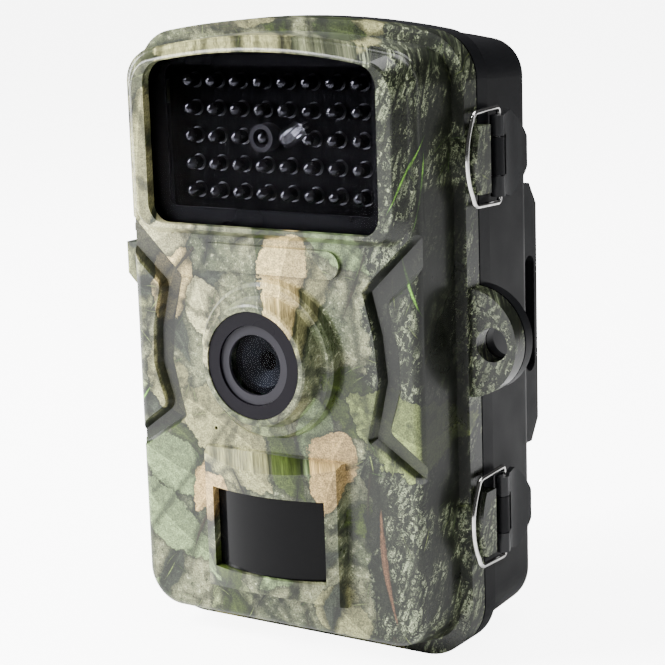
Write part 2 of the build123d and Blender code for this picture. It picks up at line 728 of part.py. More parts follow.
# ---------------------------------------------------------------- motion sensor
with BuildPart() as pir_window:
    low = PIR_LOW + 0.15
    half = PIR_HALF - 0.15
    with BuildSketch(Plane.XY.offset(low)):
        with BuildLine():
            ThreePointArc((-half, FACE - 1.9), (0, FACE - 1.9 - PIR_BULGE), (half, FACE - 1.9))
            Line((half, FACE - 1.9), (half, FACE + 3.0))
            Line((half, FACE + 3.0), (half - 1.2, FACE + 3.0))
            Line((half - 1.2, FACE + 3.0), (half - 1.2, FACE - 0.7))
            ThreePointArc((half - 1.2, FACE - 0.7), (0, FACE - 0.7 - PIR_BULGE), (1.2 - half, FACE - 0.7))
            Line((1.2 - half, FACE - 0.7), (1.2 - half, FACE + 3.0))
            Line((1.2 - half, FACE + 3.0), (-half, FACE + 3.0))
            Line((-half, FACE + 3.0), (-half, FACE - 1.9))
        make_face()
    extrude(amount=PIR_HIGH - PIR_LOW - 0.3)

with BuildPart() as pir_board:
    with BuildSketch(at(7.2)):
        with Locations((0, PIR_Z)):
            RectangleRounded(27.0, 24.0, 1.5)
    extrude(amount=-1.2)

with BuildPart() as pir_sensor:
    with BuildSketch(at(7.2)):
        with Locations((0, PIR_Z)):
            Circle(4.6)
    extrude(amount=0.6)
    with BuildSketch(at(6.6)):
        with Locations((0, PIR_Z)):
            Circle(4.1)
    extrude(amount=3.6)
    with BuildSketch(at(3.0)):
        with Locations((0, PIR_Z)):
            Rectangle(4.0, 3.0)
    extrude(amount=-0.3, mode=Mode.SUBTRACT)

with BuildPart() as microphone:
    with BuildSketch(at(6.4)):
        with Locations((-16.1, 49.5)):
            Circle(3.0)
    extrude(amount=2.3)

# ---------------------------------------------------------------- main board and what it carries
KEYS = {"menu": (-21.0, 75.0), "up": (0.0, 72.5), "down": (0.0, 51.8), "left": (-12.0, 62.0),
        "right": (12.0, 62.0), "ok": (0.0, 62.0)}
LCD_Z = 100.0
SWITCH_AT = (22.0, 36.0)
SWITCH_TRAVEL = 8.0
SPEAKER_AT = (24.0, 62.0)
CARD_X = -16.4
CARD_HALF = 5.5
CARD_LOW = 24.8         # the end that a finger pulls
USB_AT = (19.9, 20.0)
BOARD_SCREWS = ((-26.0, 51.0), (26.0, 51.0), (-28.0, 90.0), (28.0, 90.0))

with BuildPart() as main_board:
    with BuildSketch(at(BOARD)):
        with Locations((0, 68.0)):
            RectangleRounded(60.0, 112.0, 2.0)
        with Locations(*BOARD_SCREWS):
            Circle(1.1, mode=Mode.SUBTRACT)
    extrude(amount=-(BOARD_BACK - BOARD))

with BuildPart() as board_screws:
    for x, z in BOARD_SCREWS:
        with BuildSketch(at(BOARD_BACK)):
            with Locations((x, z)):
                Circle(1.9)
        extrude(amount=-1.1)
        with BuildSketch(at(BOARD_BACK)):
            with Locations((x, z)):
                Circle(1.0)
        extrude(amount=3.2)

with BuildPart() as lcd_module:
    with BuildSketch(at(BOARD_BACK)):
        with Locations((0, LCD_Z)):
            RectangleRounded(51.0, 38.0, 0.8)
    extrude(amount=-2.8)

with BuildPart() as lcd_window:
    with BuildSketch(at(PANEL + 0.7)):
        with Locations((0, LCD_Z)):
            RectangleRounded(47.8, 36.8, 1.9)
    extrude(amount=-1.2)

with BuildPart() as tact_switches:
    for x, z in KEYS.values():
        with BuildSketch(at(BOARD_BACK)):
            with Locations((x, z)):
                Rectangle(4.4, 4.4)
        extrude(amount=-1.3)
        with BuildSketch(at(BOARD_BACK)):
            with Locations((x, z)):
                Circle(1.1)
        extrude(amount=-1.9)

with BuildPart() as power_switch:
    with BuildSketch(at(BOARD_BACK)):
        with Locations(SWITCH_AT):
            Rectangle(17.0, 5.0)
    extrude(amount=-2.3)
    with BuildSketch(at(BOARD_BACK + 2.3)):
        with Locations(SWITCH_AT):
            Rectangle(13.4, 2.0)
    extrude(amount=1.2, mode=Mode.SUBTRACT)

with BuildPart() as power_knob:
    with BuildSketch(at(BOARD_BACK + 1.3)):
        with Locations((SWITCH_AT[0] - SWITCH_TRAVEL / 2, SWITCH_AT[1])):
            Rectangle(3.0, 1.6)
    extrude(amount=-3.9)
    with BuildSketch(at(PANEL_BACK - 0.3)):
        with Locations((SWITCH_AT[0] - SWITCH_TRAVEL / 2, SWITCH_AT[1])):
            Rectangle(4.0, 2.8)
    extrude(amount=-1.4)
    with BuildSketch(at(PANEL_BACK + 1.1)):
        for k in (-1, 0, 1):
            with Locations((SWITCH_AT[0] - SWITCH_TRAVEL / 2 + 1.3 * k, SWITCH_AT[1])):
                Rectangle(0.5, 3.4)
    extrude(amount=0.4, mode=Mode.SUBTRACT)

# the card leaves downwards, into the finger space in the inner panel
with BuildPart() as sd_socket:
    with BuildSketch(at(BOARD_BACK)):
        with Locations((CARD_X, 33.5)):
            Rectangle(14.6, 15.0)
    extrude(amount=-1.9)
    with BuildSketch(at(BOARD_BACK + 1.5)):
        with Locations((CARD_X, 33.1)):
            Rectangle(2 * CARD_HALF + 0.6, 14.6)
    extrude(amount=1.2, mode=Mode.SUBTRACT)

with BuildPart() as sd_card:
    with BuildSketch(at(BOARD_BACK + 0.5)):
        with BuildLine():
            Polyline((CARD_X - CARD_HALF, CARD_LOW), (CARD_X + CARD_HALF, CARD_LOW),
                     (CARD_X + CARD_HALF, CARD_LOW + 7.6), (CARD_X + CARD_HALF - 1.3, CARD_LOW + 8.9),
                     (CARD_X + CARD_HALF - 1.3, CARD_LOW + 15.0), (CARD_X - CARD_HALF, CARD_LOW + 15.0),
                     close=True)
        make_face()
    extrude(amount=-0.8)
    # raised lip for the fingernail
    with BuildSketch(at(BOARD_BACK + 1.3)):
        with Locations((CARD_X, CARD_LOW + 0.4)):
            Rectangle(2 * CARD_HALF, 0.8)
    extrude(amount=-0.2)

# upright port, its mouth just inside the inner panel's back face
with BuildPart() as usb_port:
    with BuildSketch(at(BOARD_BACK)):
        with Locations(USB_AT):
            RectangleRounded(7.6, 3.0, 0.5)
    extrude(amount=-5.0)
    with BuildSketch(at(BOARD_BACK + 5.0)):
        with Locations(USB_AT):
            RectangleRounded(6.9, 2.3, 0.4)
            Rectangle(3.8, 0.6, mode=Mode.SUBTRACT)
    extrude(amount=4.4, mode=Mode.SUBTRACT)

with BuildPart() as speaker:
    with BuildSketch(at(BOARD_BACK)):
        with Locations(SPEAKER_AT):
            Circle(6.0)
    extrude(amount=-2.6)
    with BuildSketch(at(BOARD_BACK + 2.6)):
        with Locations(SPEAKER_AT):
            Circle(5.0)
            Circle(2.2, mode=Mode.SUBTRACT)
    extrude(amount=0.8, mode=Mode.SUBTRACT)


def key_shape(name, grow=0.0):
    """The outline of a key's cap, round for OK, a slot for menu, square with soft corners for the rest."""
    with BuildSketch() as shape:
        with Locations(KEYS[name]):
            if name == "ok":
                Circle(3.7 + grow)
            elif name == "menu":
                SlotOverall(10.0 + 2 * grow, 5.0 + 2 * grow)
            else:
                RectangleRounded(7.4 + 2 * grow, 7.4 + 2 * grow, 2.0 + grow)
    return shape.sketch


def key(name):
    with BuildPart() as part:
        with BuildSketch(at(PANEL - 1.0)):
            add(key_shape(name, 0.7))
        extrude(amount=-0.7)
        with BuildSketch(at(PANEL - 0.4)):
            add(key_shape(name))
        extrude(amount=-(PANEL_BACK + 0.5 - PANEL + 0.4))
        fillet(part.faces().sort_by(Axis.Y)[-1].edges(), 0.35)
    return part


keys = {name: key(name) for name in KEYS}

with BuildPart() as inner_panel:
    with BuildSketch(at(PANEL)):
        add(arched(37.2, 5.8, 131.4, 135.2, 6.0, 7.5))
        for name in KEYS:
            add(key_shape(name, 0.3), mode=Mode.SUBTRACT)
        with Locations((0, LCD_Z)):
            RectangleRounded(41.4, 31.4, 1.2, mode=Mode.SUBTRACT)
        with Locations(SWITCH_AT):
            SlotOverall(14.6, 3.6, mode=Mode.SUBTRACT)
        with Locations((CARD_X, 19.75)):
            RectangleRounded(18.0, 20.5, 2.5, mode=Mode.SUBTRACT)
        with Locations(USB_AT):
            RectangleRounded(8.4, 3.8, 0.8, mode=Mode.SUBTRACT)
        with Locations(SPEAKER_AT):
            with PolarLocations(3.2, 6):
                Circle(0.6, mode=Mode.SUBTRACT)
            Circle(0.6, mode=Mode.SUBTRACT)
    extrude(amount=-(PANEL_BACK - PANEL))
    # seats for the display's window and the screw heads
    with BuildSketch(at(PANEL + 0.6)):
        with Locations((0, LCD_Z)):
            RectangleRounded(48.2, 37.2, 2.0)
    extrude(amount=-3.0, mode=Mode.SUBTRACT)
    with BuildSketch(at(PANEL_BACK)):
        for x in (-PANEL_SCREW_X, PANEL_SCREW_X):
            for z in PANEL_SCREW_Z:
                with Locations((x, z)):
                    Circle(1.3)
    extrude(amount=3.0, mode=Mode.SUBTRACT)

with BuildPart() as panel_screws:
    for x in (-PANEL_SCREW_X, PANEL_SCREW_X):
        for z in PANEL_SCREW_Z:
            with BuildSketch(at(PANEL_BACK)):
                with Locations((x, z)):
                    Circle(2.2)
            extrude(amount=-1.1)
            with BuildSketch(at(PANEL_BACK)):
                with Locations((x, z)):
                    Circle(1.05)
            extrude(amount=8.0)
            with BuildSketch(at(PANEL_BACK + 1.1)):
                with Locations((x, z)):
                    Rectangle(2.4, 0.6)
                    Rectangle(0.6, 2.4)
            extrude(amount=0.6, mode=Mode.SUBTRACT)

# ---------------------------------------------------------------- labels and files
pieces = {
    "rear_shell": rear_shell, "gasket": gasket, "battery_tray": battery_tray, "aa_cells": aa_cells,
    "cell_contacts": cell_contacts, "cell_springs": cell_springs, "battery_cover": battery_cover,
    "tripod_insert": tripod_insert, "tree_bracket": tree_bracket, "bracket_screws": bracket_screws,
    "hinge_pins": hinge_pins, "latch_pins": latch_pins, "dc_jack": dc_jack, "port_plug": port_plug,
    "latch_lever_upper": latch_lever_upper, "latch_lever_lower": latch_lever_lower,
    "bail_upper": bail_upper, "bail_lower": bail_lower,
    "front_shell": front_shell, "ir_window": ir_window, "window_mask": window_mask,
    "ir_board": ir_board, "ir_leds": ir_leds, "status_led": status_led, "sensor_sleeve": sensor_sleeve,
    "light_sensor": light_sensor, "sensor_leads": sensor_leads,
    "lens_bezel": lens_bezel, "lens_trim": lens_trim, "cover_glass": cover_glass,
    "lens_barrel": lens_barrel, "lens_elements": lens_elements, "lens_holder": lens_holder,
    "ir_cut_filter": ir_cut_filter, "ir_cut_coil": ir_cut_coil, "image_sensor": image_sensor,
    "camera_board": camera_board, "pir_window": pir_window, "pir_sensor": pir_sensor,
    "pir_board": pir_board, "microphone": microphone, "main_board": main_board,
    "board_screws": board_screws, "lcd_module": lcd_module, "lcd_window": lcd_window,
    "tact_switches": tact_switches, "power_switch": power_switch, "power_knob": power_knob,
    "sd_socket": sd_socket, "sd_card": sd_card, "usb_port": usb_port, "speaker": speaker,
    "inner_panel": inner_panel, "panel_screws": panel_screws,
}
pieces |= {f"key_{name}": keys[name] for name in keys}
for name, piece in pieces.items():
    piece.part.label = name
    export_step(piece.part, f"parts/{name}.step")
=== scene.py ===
"""Looks of the trail camera: materials, fine pieces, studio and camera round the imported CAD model."""
import json
import math

import bmesh
import bpy
from mathutils import Matrix, Vector


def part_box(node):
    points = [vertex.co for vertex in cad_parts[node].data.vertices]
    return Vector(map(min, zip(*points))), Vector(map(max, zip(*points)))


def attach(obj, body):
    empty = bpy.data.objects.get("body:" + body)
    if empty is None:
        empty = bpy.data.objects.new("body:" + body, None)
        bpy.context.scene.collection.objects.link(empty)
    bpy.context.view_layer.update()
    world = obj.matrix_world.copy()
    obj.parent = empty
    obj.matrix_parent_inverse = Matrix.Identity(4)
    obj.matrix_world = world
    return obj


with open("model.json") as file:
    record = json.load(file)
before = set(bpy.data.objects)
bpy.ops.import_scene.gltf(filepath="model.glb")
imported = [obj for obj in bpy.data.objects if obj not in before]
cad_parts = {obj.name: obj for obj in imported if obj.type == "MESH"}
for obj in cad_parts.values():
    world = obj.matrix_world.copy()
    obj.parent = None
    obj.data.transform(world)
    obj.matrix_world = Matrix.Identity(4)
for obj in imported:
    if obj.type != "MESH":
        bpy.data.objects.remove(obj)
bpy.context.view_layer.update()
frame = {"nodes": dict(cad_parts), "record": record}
nodes = frame["nodes"]

MM = 0.001


# ================================================================ shader helpers
class Tree:
    """Short calls for building one node tree, either a material's or a group's."""

    def __init__(self, tree):
        self.tree = tree

    def node(self, kind, **settings):
        made = self.tree.nodes.new("ShaderNode" + kind)
        for name, value in settings.items():
            setattr(made, name, value)
        return made

    def put(self, socket, value):
        """Links another node's output, or sets a plain value."""
        if isinstance(value, bpy.types.NodeSocket):
            self.tree.links.new(value, socket)
        elif value is not None:
            socket.default_value = value

    def math(self, operation, a, b=None, c=None):
        made = self.node("Math", operation=operation)
        for socket, value in zip(made.inputs, (a, b, c)):
            self.put(socket, value)
        return made.outputs[0]

    def vector(self, operation, a, b=None):
        made = self.node("VectorMath", operation=operation)
        self.put(made.inputs[0], a)
        self.put(made.inputs[1], b)
        return made.outputs[0]

    def scaled(self, vector, factor):
        made = self.node("VectorMath", operation="SCALE")
        self.put(made.inputs[0], vector)
        self.put(made.inputs["Scale"], factor)
        return made.outputs[0]

    def split(self, vector):
        made = self.node("SeparateXYZ")
        self.put(made.inputs[0], vector)
        return made.outputs

    def join(self, x=0.0, y=0.0, z=0.0):
        made = self.node("CombineXYZ")
        for socket, value in zip(made.inputs, (x, y, z)):
            self.put(socket, value)
        return made.outputs[0]

    def grey(self, value):
        """A grey of this strength, as a colour."""
        made = self.node("CombineColor")
        for socket in made.inputs:
            self.put(socket, value)
        return made.outputs[0]

    def step(self, value, low, high, out_low=0.0, out_high=1.0):
        """Eases from out_low to out_high as value goes from low to high."""
        made = self.node("MapRange", interpolation_type="SMOOTHSTEP", clamp=False)
        for name, given in (("Value", value), ("From Min", low), ("From Max", high),
                            ("To Min", out_low), ("To Max", out_high)):
            self.put(made.inputs[name], given)
        return made.outputs[0]

    def noise(self, place, scale, detail=2.0, roughness=0.5):
        made = self.node("TexNoise")
        for name, given in (("Vector", place), ("Scale", scale), ("Detail", detail),
                            ("Roughness", roughness)):
            self.put(made.inputs[name], given)
        return made.outputs["Fac"], made.outputs["Color"]

    def voronoi(self, place, scale, feature="F1", randomness=1.0, dimensions="3D"):
        made = self.node("TexVoronoi", feature=feature, voronoi_dimensions=dimensions)
        for name, given in (("Vector", place), ("Scale", scale), ("Randomness", randomness)):
            self.put(made.inputs[name], given)
        return made.outputs

    def mix(self, factor, a, b, blend="MIX"):
        made = self.node("Mix", data_type="RGBA", blend_type=blend)
        for socket, value in ((made.inputs[0], factor), (made.inputs[6], a), (made.inputs[7], b)):
            if isinstance(value, tuple) and len(value) == 3:
                value = (*value, 1.0)
            self.put(socket, value)
        return made.outputs[2]

    def bump(self, height, distance, strength=1.0, normal=None):
        made = self.node("Bump")
        self.put(made.inputs["Height"], height)
        self.put(made.inputs["Distance"], distance)
        self.put(made.inputs["Strength"], strength)
        self.put(made.inputs["Normal"], normal)
        return made.outputs[0]

    def place_mm(self):
        """The point on the object, in millimetres of the shared frame."""
        return self.scaled(self.node("TexCoord").outputs["Object"], 1 / MM)


class Shader(Tree):
    """One material: a Principled shader whose sockets are set by name."""

    def __init__(self, name, **sockets):
        self.material = bpy.data.materials.new(name)
        self.material.use_nodes = True
        super().__init__(self.material.node_tree)
        self.tree.nodes.clear()
        self.bsdf = self.node("BsdfPrincipled")
        self.output = self.node("OutputMaterial")
        self.tree.links.new(self.bsdf.outputs[0], self.output.inputs[0])
        for socket, value in sockets.items():
            self.set(socket.replace("_", " "), value)

    def set(self, socket, value):
        if isinstance(value, tuple) and len(value) == 3 and "Color" in socket:
            value = (*value, 1.0)
        self.put(self.bsdf.inputs[socket], value)


# ================================================================ camouflage film
INK_BLACK = (0.012, 0.015, 0.009)


def leaf_group():
    """One printed leaf: pointed oval, ragged edge, midrib and side veins, in millimetres."""
    group = bpy.data.node_groups.new("printed_leaf", "ShaderNodeTree")
    for name, kind in (("Place", "Vector"), ("Centre", "Vector"), ("Angle", "Float"),
                       ("Length", "Float"), ("Width", "Float"), ("Bend", "Float"),
                       ("Ragged", "Float"), ("Grain", "Float"), ("Shown", "Float"),
                       ("Colour", "Color"), ("Under", "Color")):
        group.interface.new_socket(name, in_out="INPUT", socket_type="NodeSocket" + kind)
    group.interface.new_socket("Colour", in_out="OUTPUT", socket_type="NodeSocketColor")
    t = Tree(group)
    given = t.tree.nodes.new("NodeGroupInput").outputs
    # each node is made after the ones it reads
    backwards = t.math("MULTIPLY", given["Angle"], -1.0)
    turned = t.node("VectorRotate", rotation_type="Z_AXIS")
    t.put(turned.inputs["Vector"], given["Place"])
    t.put(turned.inputs["Center"], given["Centre"])
    t.put(turned.inputs["Angle"], backwards)
    along, across, _ = t.split(t.vector("SUBTRACT", turned.outputs[0], given["Centre"]))
    share = t.math("DIVIDE", along, given["Length"])
    arch = t.math("MAXIMUM", t.math("SUBTRACT", 1.0, t.math("MULTIPLY", share, share)), 0.0)
    bow = t.math("MULTIPLY", t.math("MULTIPLY", given["Bend"], arch), given["Length"])
    across = t.math("SUBTRACT", across, bow)
    side = t.math("ABSOLUTE", across)
    blunt = t.math("MULTIPLY", given["Width"], arch)
    edge = t.math("MULTIPLY", blunt, t.math("MULTIPLY_ADD", share, 0.35, 1.0))
    ragged = t.math("MULTIPLY", given["Ragged"], given["Width"])
    inside = t.math("SUBTRACT", t.math("MULTIPLY_ADD", ragged, 0.9, edge), side)
    inside = t.math("MINIMUM", inside, t.math("MULTIPLY", arch, given["Length"]))
    rib = t.step(side, 0.34, 0.1)
    vein = t.step(t.math("PINGPONG", t.math("MULTIPLY_ADD", side, -0.9, along), 1.3), 0.16, 0.03)
    lit = t.step(across, -0.3, 0.3, 0.80, 1.12)
    tone = t.math("MULTIPLY", lit, given["Grain"])
    tone = t.math("MULTIPLY_ADD", vein, 0.14, t.math("MULTIPLY_ADD", rib, 0.3, tone))
    shadow = t.math("MULTIPLY", t.step(inside, -1.6, 0.1), given["Shown"])
    under = t.mix(t.math("MULTIPLY", shadow, 0.6), given["Under"], INK_BLACK)
    toned = t.mix(1.0, given["Colour"], t.grey(tone), "MULTIPLY")
    mask = t.math("MULTIPLY", t.step(inside, 0.0, 0.35), given["Shown"])
    result = t.tree.nodes.new("NodeGroupOutput").inputs
    t.put(result["Colour"], t.mix(mask, under, toned))
    return group


LEAF = leaf_group()

KHAKI = (0.235, 0.230, 0.130)
PALE = (0.340, 0.330, 0.210)
TAN = (0.420, 0.350, 0.190)
RUST = (0.350, 0.265, 0.135)
SAGE = (0.175, 0.220, 0.120)
OLIVE = (0.062, 0.082, 0.024)
MOSS = (0.175, 0.205, 0.085)
SLATE = (0.052, 0.060, 0.045)
GRASS = (0.150, 0.290, 0.050)
TWIG = (0.110, 0.066, 0.040)

# the large printed leaves: middle (x, z), half length, half width (mm), turn (degrees), bend, colour.
# Each leaf adds to the door's shader, and too many make it render black, so the list stays short.
LEAVES = (
    (-33, 108, 20, 6.0, 88, 0.10, KHAKI),
    (-10, 134, 20, 4.5, 2, 0.05, KHAKI),
    (-31, 93, 13, 6.0, 25, -0.1, PALE),
    (-26, 80, 11, 5.5, 70, 0.1, TAN),
    (-17, 76, 9, 5.0, 110, 0.1, PALE),
    (4, 86, 12, 6.5, 75, 0.1, TAN),
    (-27, 58, 12, 5.5, 120, 0.1, KHAKI),
    (-14, 49, 15, 8.0, 150, -0.1, KHAKI),
    (24, 58, 15, 6.0, 140, 0.1, OLIVE),
    (37, 53, 20, 8.0, 158, 0.1, MOSS),
    (-26, 40, 14, 6.5, 160, 0.1, SAGE),
    (-19, 36, 8, 5.0, 60, -0.1, RUST),
    (15, 44, 9, 6.5, 65, 0.1, RUST),
    (-28, 27, 15, 6.0, 142, 0.15, SAGE),
    (29, 23, 14, 0.9, 98, 0.08, TWIG),
    (35, 108, 10, 0.45, 50, 0.1, GRASS),
    (38, 104, 9, 0.40, 76, -0.1, GRASS),
    (37, 84, 9, 0.45, 112, 0.1, GRASS),
    (-38, 50, 9, 0.45, 62, 0.1, GRASS),
)

DOOR_FACE = 34.0        # how far the door's main face lies in front of the origin, in millimetres
WRAP_ACROSS = 0.75      # how the print moves on as the surface goes back from that face
WRAP_UP = -0.6
TRUNK_EDGE = 34.5       # where the bark starts, before its edge is made uneven

# the sunk channels in the door's face, which get a painted shade: where each soft edge starts and ends,
# in millimetres
CHANNEL_FLOOR = (-33.7, -33.1)
CHANNEL_SIDE = (43.0, 41.5)
CHANNEL_FOOT = (36.0, 38.0)
CHANNEL_HEAD = (107.0, 105.0)
# the colour of the painted shade in the channels
CHANNEL_PAINTED_SHADE = (0.010, 0.012, 0.008)


class Film(Shader):
    """The printed film: colours laid over each other, one leaf or one layer of leaves at a time."""

    def __init__(self, name):
        super().__init__(name)
        x, y, z = self.split(self.place_mm())
        depth = self.math("ADD", y, DOOR_FACE)
        # seen from the front, and wrapped on round the sides
        self.place = self.join(self.math("MULTIPLY_ADD", depth, WRAP_ACROSS, x),
                               self.math("MULTIPLY_ADD", depth, WRAP_UP, z))
        self.x, self.y, self.z = x, y, z
        self.ragged = self.math("SUBTRACT", self.noise(self.place, 0.28, 4.0, 0.65)[0], 0.5)
        self.grain = self.noise(self.place, 0.75, 7.0, 0.78)[0]
        self.mottle = self.step(self.grain, 0.30, 0.70, 0.62, 1.35)
        self.colour = None

    def leaf(self, centre, angle, length, width, bend, colour, shown=1.0, place=None):
        """One leaf over the colours laid so far; place is the film's own unless given."""
        made = self.tree.nodes.new("ShaderNodeGroup")
        made.node_tree = LEAF
        for name, value in (("Place", place or self.place), ("Centre", centre), ("Angle", angle),
                            ("Length", length), ("Width", width), ("Bend", bend),
                            ("Ragged", self.ragged), ("Grain", self.mottle), ("Shown", shown),
                            ("Colour", colour), ("Under", self.colour)):
            if isinstance(value, tuple) and name == "Colour":
                value = (*value, 1.0)
            self.put(made.inputs[name], value)
        return made.outputs[0]

    def scatter(self, scale, shift, angles, width, colours, keep, length=0.52):
        """A layer of leaves, one to each cell of a random grid."""
        place = self.vector("ADD", self.place, (shift, 2 * shift, 0.0))
        cells = self.voronoi(place, scale, dimensions="2D", randomness=0.9)
        apart = self.node("SeparateColor")
        self.put(apart.inputs[0], cells["Color"])
        red, green, blue = apart.outputs
        low, high = angles
        size = length / scale
        angle = self.math("MULTIPLY_ADD", red, high - low, low)
        wide = self.math("MULTIPLY_ADD", green, 0.6 * size * width, 0.7 * size * width)
        bend = self.math("MULTIPLY_ADD", blue, 0.3, -0.15)
        shown = self.step(blue, keep, keep + 0.02)
        colour = self.mix(self.step(green, 0.3, 0.7), *colours)
        return self.leaf(cells["Position"], angle, size, wide, bend, colour, shown, place)


def bark(t):
    """Pale flakes in long dark cracks."""
    wander = t.math("MULTIPLY", t.noise(t.place, 0.30, 4.0, 0.65)[0], 9.0)
    tall = t.vector("ADD", t.vector("MULTIPLY", t.place, (1.0, 0.45, 1.0)), t.join(wander, wander))
    crack = t.step(t.voronoi(tall, 0.40, "DISTANCE_TO_EDGE", dimensions="2D")["Distance"], 0.07, 0.22)
    fine = t.step(t.voronoi(tall, 0.95, "DISTANCE_TO_EDGE", dimensions="2D")["Distance"], 0.02, 0.15)
    patch, _ = t.noise(t.place, 0.10, 3.0, 0.6)
    grain, _ = t.noise(tall, 1.3, 6.0, 0.75)
    shown = t.step(t.math("MULTIPLY_ADD", grain, 0.45, patch), 0.67, 0.76)
    flake = t.math("MULTIPLY", t.math("MULTIPLY", crack, fine), shown)
    ground = t.mix(t.step(grain, 0.3, 0.75), (0.004, 0.006, 0.004), (0.050, 0.056, 0.038))
    pale = t.mix(t.step(grain, 0.35, 0.7), (0.095, 0.115, 0.075), (0.400, 0.430, 0.300))
    return t.mix(flake, ground, pale)


def camouflage():
    """The dipped film on the door: leaves on the left and middle, bark on the right."""
    s = Film("camouflage_film")
    broad, _ = s.noise(s.place, 0.05, 4.0, 0.6)
    ground = s.mix(s.step(broad, 0.38, 0.6), (0.095, 0.110, 0.066), (0.230, 0.235, 0.150))
    ground = s.mix(s.step(s.grain, 0.52, 0.68), ground, (0.420, 0.430, 0.310))
    s.colour = s.mix(s.step(s.grain, 0.46, 0.34), ground, (0.016, 0.020, 0.011))
    s.colour = s.scatter(0.045, 0.0, (0.2, 2.8), 0.5, (SAGE, KHAKI), 0.25)
    s.colour = s.scatter(0.070, 31.0, (1.0, 3.6), 0.45, (SLATE, OLIVE), 0.40)
    # tree trunk on the right, with an uneven edge
    edge, _ = s.noise(s.place, 0.07, 5.0, 0.65)
    right = s.step(s.math("MULTIPLY_ADD", edge, 22.0, s.x), TRUNK_EDGE, TRUNK_EDGE + 1.0)
    s.colour = s.mix(right, s.colour, bark(s))
    for x, z, length, width, turn, bend, colour in LEAVES:
        s.colour = s.leaf((x, z, 0), math.radians(turn), length, width, bend, colour)
    # bare twigs, then blades of grass in tufts
    twigs = ((0.010, 0.012, 0.008), (0.030, 0.026, 0.016))
    grass = ((0.095, 0.190, 0.030), (0.200, 0.240, 0.090))
    s.colour = s.scatter(0.050, 5.0, (0.6, 2.2), 0.045, twigs, 0.30)
    tuft = s.step(broad, 0.50, 0.56)
    bare = s.colour
    for scale, shift, angles in ((0.13, 11.0, (0.2, 2.4)), (0.17, 29.0, (-0.9, 1.3))):
        s.colour = s.scatter(scale, shift, angles, 0.05, grass, 0.2)
    colour = s.mix(tuft, bare, s.colour)
    # painted shade: the sunk channels in the face are darkened nearly black, standing in for the shade in
    # the recesses
    sunk = s.math("MULTIPLY", s.step(s.y, *CHANNEL_FLOOR),
                  s.step(s.math("ABSOLUTE", s.x), *CHANNEL_SIDE))
    tall = s.math("MULTIPLY", s.step(s.z, *CHANNEL_FOOT), s.step(s.z, *CHANNEL_HEAD))
    sunk = s.math("MULTIPLY", sunk, tall)
    colour = s.mix(s.math("MULTIPLY", sunk, 0.85), colour, CHANNEL_PAINTED_SHADE)
    # the print's own fine mottling
    fine, _ = s.noise(s.place, 2.6, 6.0, 0.7)
    shade = s.step(fine, 0.32, 0.68, 0.55, 1.45)
    deeper = s.node("Gamma")
    s.put(deeper.inputs["Color"], s.mix(1.0, colour, s.grey(shade), "MULTIPLY"))
    deeper.inputs["Gamma"].default_value = 1.35
    s.set("Base Color", s.mix(1.0, deeper.outputs[0], (1.55, 1.55, 1.55), "MULTIPLY"))
    s.set("Specular IOR Level", 0.35)
    s.set("Roughness", s.step(broad, 0.3, 0.7, 0.26, 0.36))
    s.set("Coat Weight", 0.12)
    s.set("Coat Roughness", 0.08)
    s.set("Normal", s.bump(s.noise(s.place_mm(), 1.1, 2.0)[0], 0.00004, 0.35))
    return s.material


# ================================================================ other materials
def moulded(name, colour, roughness=0.45, grain=2.2, depth=0.00003, spread=0.12, **more):
    """Moulded plastic with a fine spark-eroded grain and slightly uneven gloss."""
    s = Shader(name, **more)
    place = s.place_mm()
    broad, _ = s.noise(place, 0.07, 3.0)
    fine, _ = s.noise(place, grain, 3.0, 0.6)
    darker = tuple(c * (1 - spread) for c in colour)
    lighter = tuple(min(1.0, c * (1 + spread)) for c in colour)
    s.set("Base Color", s.mix(s.step(s.math("ADD", broad, s.math("MULTIPLY", fine, 0.3)), 0.4, 0.9),
                              darker, lighter))
    s.set("Roughness", s.step(broad, 0.3, 0.7, roughness - 0.05, roughness + 0.06))
    s.set("Normal", s.bump(fine, depth, 0.6))
    return s.material


def metal(name, colour, roughness=0.25, stretch=(1.0, 1.0, 1.0), streak=0.08):
    """Metal with fine drawn or turned streaks."""
    s = Shader(name, Metallic=1.0)
    streaks, _ = s.noise(s.vector("MULTIPLY", s.place_mm(), stretch), 3.0, 4.0, 0.6)
    worn, _ = s.noise(s.place_mm(), 0.4, 3.0)
    darker = tuple(c * 0.8 for c in colour)
    s.set("Base Color", s.mix(s.step(worn, 0.35, 0.7), darker, colour))
    s.set("Roughness", s.step(streaks, 0.3, 0.7, max(0.03, roughness - streak), roughness + streak))
    s.set("Normal", s.bump(streaks, 0.00001, 0.4))
    return s.material


def board(name, mask, trace, plating=(0.62, 0.60, 0.52), specular=0.5):
    """A circuit board: solder mask over faint copper tracks, with plated vias."""
    s = Shader(name, Specular_IOR_Level=specular)
    x, _, z = s.split(s.place_mm())
    flat = s.join(x, z)
    cells = s.voronoi(flat, 0.35, "F1", 0.4, "2D")
    moved = s.math("MULTIPLY", s.split(cells["Color"])[0], 3.0)
    across = s.math("PINGPONG", s.math("ADD", x, moved), 0.9)
    line = s.step(s.math("ABSOLUTE", s.math("SUBTRACT", across, 0.45)), 0.2, 0.1)
    via = s.step(s.voronoi(flat, 0.28, "F1", 0.6, "2D")["Distance"], 0.11, 0.07)
    colour = s.mix(s.math("MULTIPLY", line, 0.6), mask, trace)
    s.set("Base Color", s.mix(via, colour, plating))
    s.set("Roughness", s.step(s.noise(flat, 1.0)[0], 0.3, 0.7, 0.3, 0.42))
    s.set("Normal", s.bump(line, 0.00003, 0.7))
    return s.material


